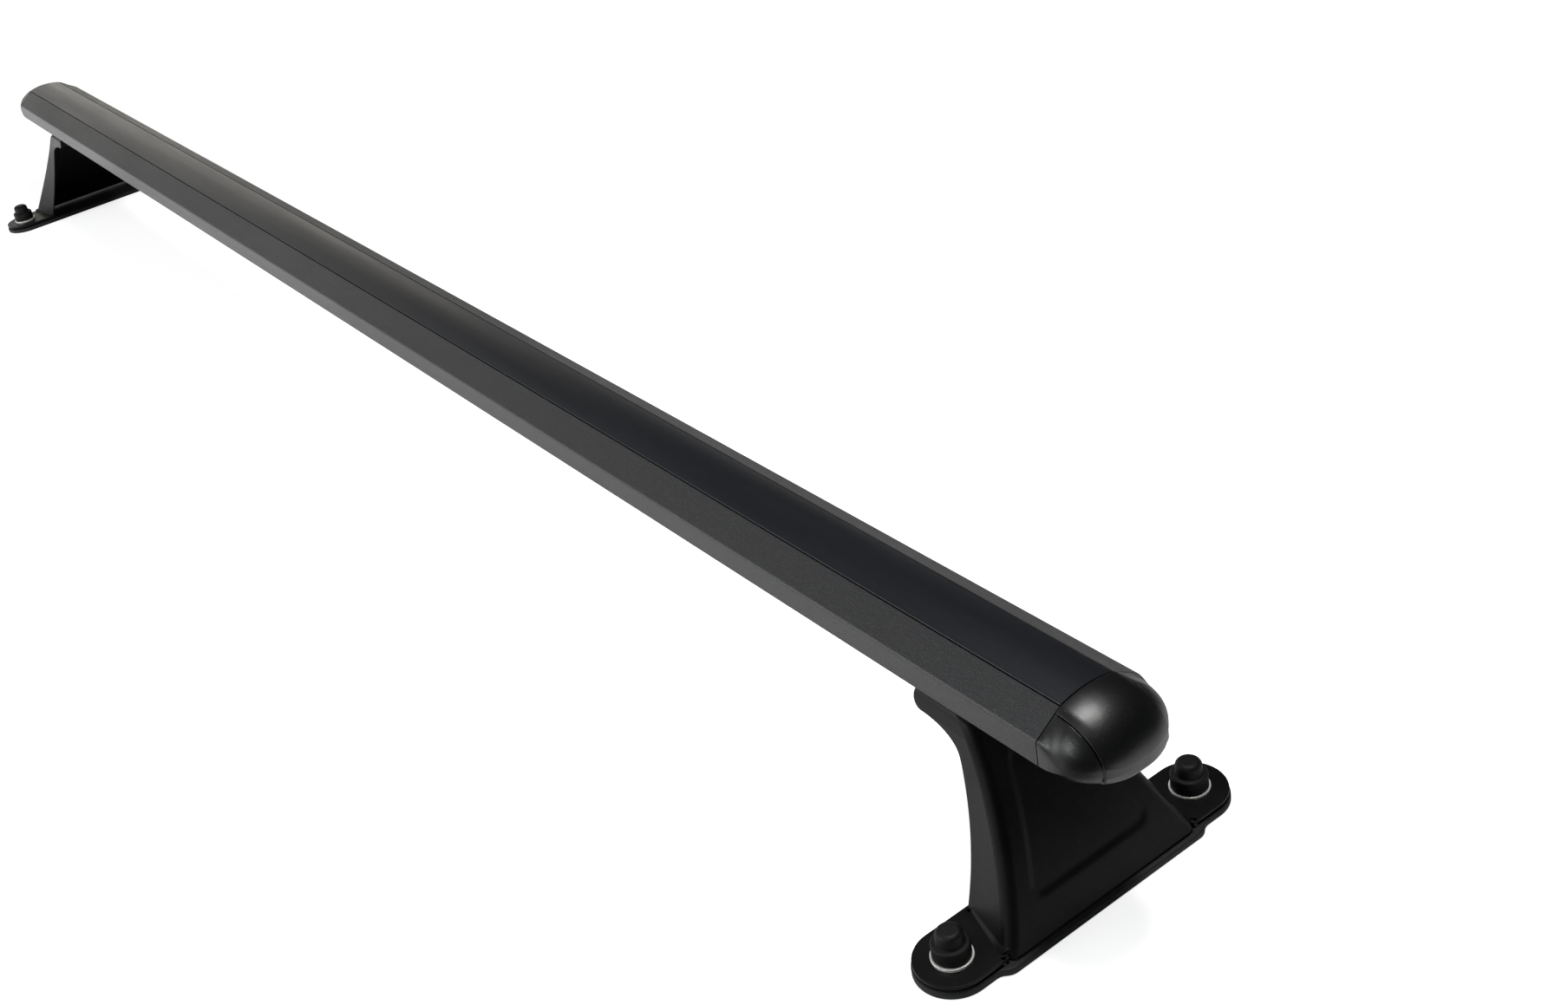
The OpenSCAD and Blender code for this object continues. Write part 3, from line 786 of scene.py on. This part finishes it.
# Even steps from low up to, but without, high
def spread(low, high, steps):
    return [mix(low, high, i / steps) for i in range(steps)]


# The shell is lofted through levels that stand closer where its outline turns faster
def legShell():
    sheet, tab, top, pressLow = leg["sheet"], leg["tab"], leg["bend"]["top"], leg["press"]["low"]
    low = [-sheet, 0] + spread(2, pressLow - 0.5, 5)
    low += spread(pressLow - 0.5, pressLow + 8, 12)
    low += spread(pressLow + 8, tabLow - tab["flare"], 18)
    flared = [tabLow - tab["flare"] * t
              for t in (1, 0.85, 0.7, 0.55, 0.42, 0.3, 0.2, 0.12, 0.06, 0.025, 0.005, 0)]
    tabRound = [tabLow + tab["radius"] * t for t in (0.03, 0.1, 0.22, 0.4, 0.62, 0.85, 1)]
    topTurn = [sin(radians(a)) for a in (0, 12, 24, 36, 48, 60, 70, 80, 90)]
    turnLow = leg["height"] - top
    levels = low + flared + tabRound + [turnLow + top * t for t in topTurn]
    outer = loftMesh("legPressing", [legRing(z, 0, flangeX(z)) for z in levels])
    # The cavity runs out past the open inner side, except under the top plate and the tab
    past, pastFoot = 12, -30
    hollow = [(-sheet - 1, pastFoot)] + [(z, flangeX(z) - past) for z in low]
    hollow += [(z - 0.01, flangeX(z) - past) for z in flared]
    hollow += [(z, sheet - leg["reach"]) for z in [tabLow + 0.2, tabLow + 3.5]
               + [turnLow + (top - sheet) * t for t in topTurn]]
    cavity = loftMesh("legCavity", [legRing(z, sheet, x) for z, x in hollow])
    shape = combine(outer, cavity, "DIFFERENCE")
    clear = leg["baseHalf"] - leg["footStrip"]
    back, front = (leg["baseFront"] + x for x in leg["footBox"])
    trim = boxMesh("panelFoot", (back, -clear, -sheet - 1), (front, clear, leg["panelGap"] - sheet))
    return combine(shape, trim, "DIFFERENCE")


# The bend between the flange and an ear, with a hollow round on the ear's side
def earBend(start, end):
    along = (end - start).normalized()
    across = Vector((-along.y, along.x))
    r, form = leg["bend"]["ear"], leg["fillet"]
    fillet = [(form["back"], -1), (form["back"], r * form["high"])]
    for a in range(0, 91, 9):
        turn = sin(radians(a))
        fillet.append((form["start"] - r * turn * form["wide"], r * (1 - turn) * form["high"]))
    fillet.append((-r, -1))
    return loftMesh("earBend", [[(*(corner + across * p), z) for p, z in fillet]
                                for corner in (start, end)])


# One ear with its bend, its two notches and its bolt hole
def earMesh(side):
    radius, boltY, sheet = foot["earRadius"], foot["boltY"], leg["sheet"]
    bendIn = Vector((-leg["innerBase"], leg["toeIn"] - leg["baseHalf"])) + Vector(leg["bendFrom"])
    bendOut = Vector((leg["baseFront"], -leg["baseHalf"])) + Vector(leg["bendTo"])
    outline = ([(-radius, bendIn.y + 1)] + arcPoints((0, -boltY), radius, 180, 360, 40)
               + [(radius, bendOut.y + 1)])
    rim = leg["earRim"]
    grown = [(0, -rim), (rim * 0.3, -rim * 0.3), (rim, 0)]
    levels = [(h - sheet, g - 1) for h, g in grown[:2]] + leg["earTaper"]
    levels += [(-h, g) for h, g in reversed(grown)]
    rings = []
    for z, g in levels:
        wide = 1 + g / radius
        rings.append([(x * wide, (y + boltY) * wide - boltY, z) for x, y in outline])
    ear = combine(loftMesh("ear", rings), earBend(bendIn, bendOut), "UNION")
    notch = leg["notch"]
    for bend, shift in ((bendIn, notch["inner"]), (bendOut, notch["outer"])):
        cut = cylinderMesh("notch", bend + Vector(shift), notch["radius"], -sheet - 1, 5, 32)
        ear = combine(ear, cut, "DIFFERENCE")
    hole = cylinderMesh("boltHole", (0, -boltY), foot["boltHole"], -sheet - 1, 1)
    ear = combine(ear, hole, "DIFFERENCE")
    if side > 0:
        ear.transform(Matrix.Scale(-1, 4, (0, 1, 0)))
        ear.flip_normals()
    return ear


def makeLegs():
    shape = legShell()
    for side in (-1, 1):
        shape = combine(shape, earMesh(side), "UNION")
    low, high = leg["height"] - 6, leg["height"] + 2
    for x in leg["clampX"]:
        hole = cylinderMesh("clampHole", (x, 0), leg["clampHole"], low, high, 32)
        shape = combine(shape, hole, "DIFFERENCE")
    for side in sides:
        placeFoot(shape, side, "LegPressing", "pressedSteel", "leg",
                  leg["sharpAngle"])


# Puts a foot piece, drawn round the bolt line, on its side of the bar
def placeFoot(shape, side, name, finish, node, sharpAngle=care["sharpAngle"]):
    copy = shape.copy() if side == "right" else mirrored(shape, name)
    copy.name = side + name
    shift = bar["length"] / 2 - foot["insets"][side]
    moved(copy, shift if side == "right" else -shift, foot["ears"])
    return addPiece(side + name, copy, f"{side}_foot", finish, f"{side}_{node}", sharpAngle)


makeLegs()
print("legs pressed")


# Rubber pads, washers and nut covers

pad = {
    "thick": 3.5,
    "margin": 0.6,
    "round": 0.9,
    "underEase": 0.25,
    "front": 3.0,              # how far the pad shows in front of the panel
    "frontCorner": 2.6,
    "earCorner": 2.0,
    "earStep": 4.5,            # from the panel's side to where the ear's side starts
}
washer = {"outer": 9.5, "inner": 4.2, "thick": 1.6, "round": 0.3}
cover = {
    "inner": 7.56,
    "outer": 8.66,
    "tier": 7.3,
    "topRadius": 6.2,
    "topRound": 2.8,
    "height": 14.0,
    "wall": 1.1,
    "boss": 4.6,
    "nutHeight": 6.5,
    "hemRound": 0.3,
    "tierRound": 0.9,
    "neckRound": 0.75,
    "hole": 0.3,               # radius of the ring that closes the dome at its middle
}


# Points that lead round the corner b of an outline from a to c
def easedCorner(a, b, c, reach, steps=8):
    def towards(p):
        t = reach / sqrt((p[0] - b[0]) ** 2 + (p[1] - b[1]) ** 2)
        return mix(b[0], p[0], t), mix(b[1], p[1], t)
    start, end = towards(a), towards(c)
    points = []
    for i in range(steps + 1):
        t = i / steps
        shares = ((1 - t) ** 2, 2 * t * (1 - t), t * t)
        points.append(tuple(sum(share * p[k] for share, p in zip(shares, (start, b, end)))
                            for k in (0, 1)))
    return points


def padOutline(grow):
    margin = pad["margin"] + grow
    radius, boltY = foot["earRadius"] + margin, foot["boltY"]
    front = leg["baseFront"] + pad["front"] + grow
    middle, outer = (front, 0.01), (front, leg["baseHalf"] + 0.5 + grow)
    inner, ear = (radius, leg["baseHalf"] + pad["earStep"] + margin), (radius, boltY)
    half = [middle] + easedCorner(middle, outer, inner, pad["frontCorner"])
    half += easedCorner(outer, inner, ear, pad["earCorner"])
    half += arcPoints((0, boltY), radius, 0, 180, 36)
    half += [(-radius, 0.01)]
    return half + [(x, -y) for x, y in reversed(half)]


def makePads():
    thick, soft, under, roof = pad["thick"], pad["round"], pad["underEase"], -foot["ears"]
    levels = [(0, -under), (under, 0), (thick - soft, 0)]
    for a in range(15, 91, 15):
        levels.append((thick - soft + soft * sin(radians(a)), -soft + soft * cos(radians(a))))
    shape = loftMesh("footPad", [[(x, y, roof + z) for x, y in padOutline(grow)]
                                 for z, grow in levels])
    for boltY in (-foot["boltY"], foot["boltY"]):
        hole = cylinderMesh("padHole", (0, boltY), foot["boltHole"], roof - 1, roof + thick + 1)
        shape = combine(shape, hole, "DIFFERENCE")
    for side in sides:
        placeFoot(shape, side, "FootPad", "padRubber", "foot_pad")


# A turned piece: rings round the bolt through each point of its profile
def turnedMesh(name, profile, centreY, loop=False):
    rings = []
    for r, z in profile:
        rings.append([(x, y, z) for x, y in arcPoints((0, centreY), r, 0, 360, 64)[:-1]])
    return loftMesh(name, rings, loop)


# Section of the washer, as (radius, height)
def washerProfile():
    inner, outer, thick, r = washer["inner"], washer["outer"], washer["thick"], washer["round"]
    ring = [(inner, r), (inner, thick - r)] + arcPoints((inner + r, thick - r), r, 150, 90, 3)
    ring += arcPoints((outer - r, thick - r), r, 90, 0, 5)
    return ring + arcPoints((outer - r, r), r, 0, -90, 5) + [(inner + r, 0)]


# Section of the cover, from under its dome down to the washer and up its outside
def coverProfile():
    base, top = washer["thick"], washer["thick"] + cover["height"]
    nutTop, tier = base + cover["nutHeight"], base + cover["tier"]
    inner, outer, neck = cover["inner"], cover["outer"], cover["topRadius"]
    ceiling = top - cover["wall"]
    skirt = [(cover["hole"], ceiling), (cover["boss"], ceiling), (cover["boss"], nutTop),
             (inner, nutTop), (inner, base)]
    r = cover["hemRound"]
    skirt += arcPoints((outer - r, base + r), r, -90, 0, 3)
    r = cover["tierRound"]
    skirt += arcPoints((outer - r, tier - r), r, 0, 84, 8)
    skirt += arcPoints((neck + r, tier + cover["neckRound"]), cover["neckRound"], 250, 185, 5)
    r = cover["topRound"]
    skirt += arcPoints((neck - r, top - r), r, 2, 88, 12)
    return skirt + [(cover["hole"], top)]


def makeHardware():
    for end, boltY in (("front", -foot["boltY"]), ("rear", foot["boltY"])):
        ring = turnedMesh("plainWasher", washerProfile(), boltY, True)
        dome = turnedMesh("nutCover", coverProfile(), boltY)
        title = end.title()
        for side in sides:
            placeFoot(ring, side, title + "Washer", "washerZinc",
                      f"washer_{end}", care["turnedAngle"])
            placeFoot(dome, side, title + "Cover", "coverRubber",
                      f"nut_cover_{end}", care["turnedAngle"])


makePads()
makeHardware()
print("pads, washers and covers made")


# Stage: white floor and surround, with soft lights

stage = {
    "floorHalf": 6.0,
    "floorHeight": -0.0002,    # a hair under the pads
    "floorColour": (0.8, 0.8, 0.8),
    "floorRoughness": 0.9,
    "floorGloss": 0.1,
    # Light that the floor gives to the camera, by distance from the middle
    "glow": {"from": 0.9, "to": 2.4, "low": 0.7, "high": 1.05},
    # Light that it gives to reflections: before the bar and most at its far end, then before
    # the right panel. Each ramp is a smooth step along one axis.
    "shines": [
        {"level": 0.4, "ramps": [
            {"axis": "X", "from": 0.9, "to": 0.5, "low": 0, "high": 1},
            {"axis": "Y", "from": -0.03, "to": -0.12, "low": 0, "high": 1},
            {"axis": "X", "from": 0.5, "to": -1.2, "low": 1, "high": 4.2},
        ]},
        {"level": 0.6, "ramps": [
            {"axis": "X", "from": 0.74, "to": 0.8, "low": 0, "high": 1},
            {"axis": "Y", "from": -0.1, "to": -0.04, "low": 0, "high": 1},
        ]},
    ],
    "dark": 0.06,          # painted shade in reflections: the floor colour that the right end's reflections see
    "reflectionShadeRamps": [
        {"axis": "X", "from": 0.66, "to": 0.76, "low": 0, "high": 1},
        {"axis": "Y", "from": -0.05, "to": -0.12, "low": 0, "high": 1},
    ],
    # The surround brightens towards one side
    "sky": {"towards": (-0.75, -0.66, 0.0), "from": 0.4, "to": 0.85, "low": 0.05, "high": 0.8},
}
lamps = {
    "key": {"place": (0.64, 0.22, 1.5), "aim": (0.74, 0.0, 0.1), "size": (0.32, 0.26),
            "power": 15, "colour": (1.0, 0.99, 0.98)},
    "frontLeft": {"place": (-0.5, -1.7, 0.8), "aim": (0.4, 0.0, 0.05), "size": (1.5, 0.9),
                  "power": 16, "colour": (0.98, 0.99, 1.0)},
    "cheekCard": {"place": (0.82, -1.3, 1.12), "aim": (0.75, 0.0, 0.1), "size": (0.22, 0.7),
                  "power": 8, "colour": (0.97, 0.99, 1.0)},
    "farEnd": {"place": (-2.9, 0.6, 0.6), "aim": (-0.4, 0.0, 0.1), "size": (1.8, 0.8),
               "power": 4.2, "colour": (1.0, 0.95, 0.86)},
    "rearCard": {"place": (-2.1, 1.3, 0.3), "aim": (0.0, 0.0, 0.1), "size": (2.2, 0.4),
                 "power": 2.7, "colour": (1.0, 0.98, 0.94)},
}


# A smooth step of a value, from low to high
def addStep(tree, value, step):
    node = addNode(tree, "ShaderNodeMapRange", interpolation_type="SMOOTHSTEP")
    sockets = {"From Min": "from", "From Max": "to", "To Min": "low", "To Max": "high"}
    for socket, key in sockets.items():
        node.inputs[socket].default_value = step[key]
    tree.links.new(value, node.inputs["Value"])
    return node.outputs["Result"]


# A value multiplied by the step of each ramp over the floor
def rampProduct(tree, value, apart, ramps):
    for ramp in ramps:
        both = addNode(tree, "ShaderNodeMath", operation="MULTIPLY")
        tree.links.new(value, both.inputs[0])
        tree.links.new(addStep(tree, apart.outputs[ramp["axis"]], ramp), both.inputs[1])
        value = both.outputs[0]
    return value


def floorPaper():
    material = bpy.data.materials.new("floorPaper")
    material.use_nodes = True
    tree = material.node_tree
    link = tree.links.new
    shader = tree.nodes["Principled BSDF"]
    shader.inputs["Roughness"].default_value = stage["floorRoughness"]
    shader.inputs["Specular IOR Level"].default_value = stage["floorGloss"]
    shader.inputs["Emission Color"].default_value = (1, 1, 1, 1)
    ray = addNode(tree, "ShaderNodeLightPath")
    glossy = ray.outputs["Is Glossy Ray"]
    place = addNode(tree, "ShaderNodeTexCoord")
    apart = addNode(tree, "ShaderNodeSeparateXYZ")
    link(place.outputs["Object"], apart.inputs[0])
    # Painted shade: glossy rays see the floor before the right end in a dark colour, other rays see
    # it white
    colour = addNode(tree, "ShaderNodeMix", data_type="RGBA")
    link(rampProduct(tree, glossy, apart, stage["reflectionShadeRamps"]), colour.inputs["Factor"])
    colour.inputs["A"].default_value = (*stage["floorColour"], 1)
    colour.inputs["B"].default_value = (*[stage["dark"]] * 3, 1)
    link(colour.outputs["Result"], shader.inputs["Base Color"])
    away = addNode(tree, "ShaderNodeVectorMath", operation="LENGTH")
    link(place.outputs["Object"], away.inputs[0])
    total = addNode(tree, "ShaderNodeMath", operation="MULTIPLY")
    link(ray.outputs["Is Camera Ray"], total.inputs[0])
    link(addStep(tree, away.outputs["Value"], stage["glow"]), total.inputs[1])
    for patch in stage["shines"]:
        more = addNode(tree, "ShaderNodeMath", operation="MULTIPLY_ADD")
        link(rampProduct(tree, glossy, apart, patch["ramps"]), more.inputs[0])
        more.inputs[1].default_value = patch["level"]
        link(total.outputs[0], more.inputs[2])
        total = more
    link(total.outputs[0], shader.inputs["Emission Strength"])
    return material


def makeFloor():
    half = stage["floorHalf"]
    corners = [(-half, -half, 0), (half, -half, 0), (half, half, 0), (-half, half, 0)]
    shape = bpy.data.meshes.new("floor")
    shape.from_pydata(corners, [], [(0, 1, 2, 3)])
    shape.materials.append(floorPaper())
    floor = looseObject("floor", shape)
    floor.location.z = stage["floorHeight"]


def makeSurround():
    world = bpy.data.worlds.new("surround")
    scene.world = world
    world.use_nodes = True
    tree = world.node_tree
    link = tree.links.new
    tree.nodes.clear()
    place = addNode(tree, "ShaderNodeTexCoord")
    facing = addNode(tree, "ShaderNodeVectorMath", operation="DOT_PRODUCT")
    facing.inputs[1].default_value = Vector(stage["sky"]["towards"]).normalized()
    link(place.outputs["Generated"], facing.inputs[0])
    dim = addNode(tree, "ShaderNodeBackground")
    link(addStep(tree, facing.outputs["Value"], stage["sky"]), dim.inputs["Strength"])
    white = addNode(tree, "ShaderNodeBackground", Strength=1.0)
    white.inputs["Color"].default_value = (1, 1, 1, 1)
    ray = addNode(tree, "ShaderNodeLightPath")
    choose = addNode(tree, "ShaderNodeMixShader")
    link(ray.outputs["Is Camera Ray"], choose.inputs[0])
    link(dim.outputs[0], choose.inputs[1])
    link(white.outputs[0], choose.inputs[2])
    out = addNode(tree, "ShaderNodeOutputWorld")
    link(choose.outputs[0], out.inputs["Surface"])


def makeLamps():
    for name, facts in lamps.items():
        data = bpy.data.lights.new(name, "AREA")
        data.shape = "RECTANGLE"
        data.size, data.size_y = facts["size"]
        data.energy = facts["power"]
        data.color = facts["colour"]
        lamp = bpy.data.objects.new(name, data)
        lamp.location = facts["place"]
        away = Vector(facts["place"]) - Vector(facts["aim"])
        lamp.rotation_euler = away.to_track_quat("Z", "Y").to_euler()
        scene.collection.objects.link(lamp)


makeFloor()
makeSurround()
makeLamps()
print("stage set with", len(lamps), "lamps")
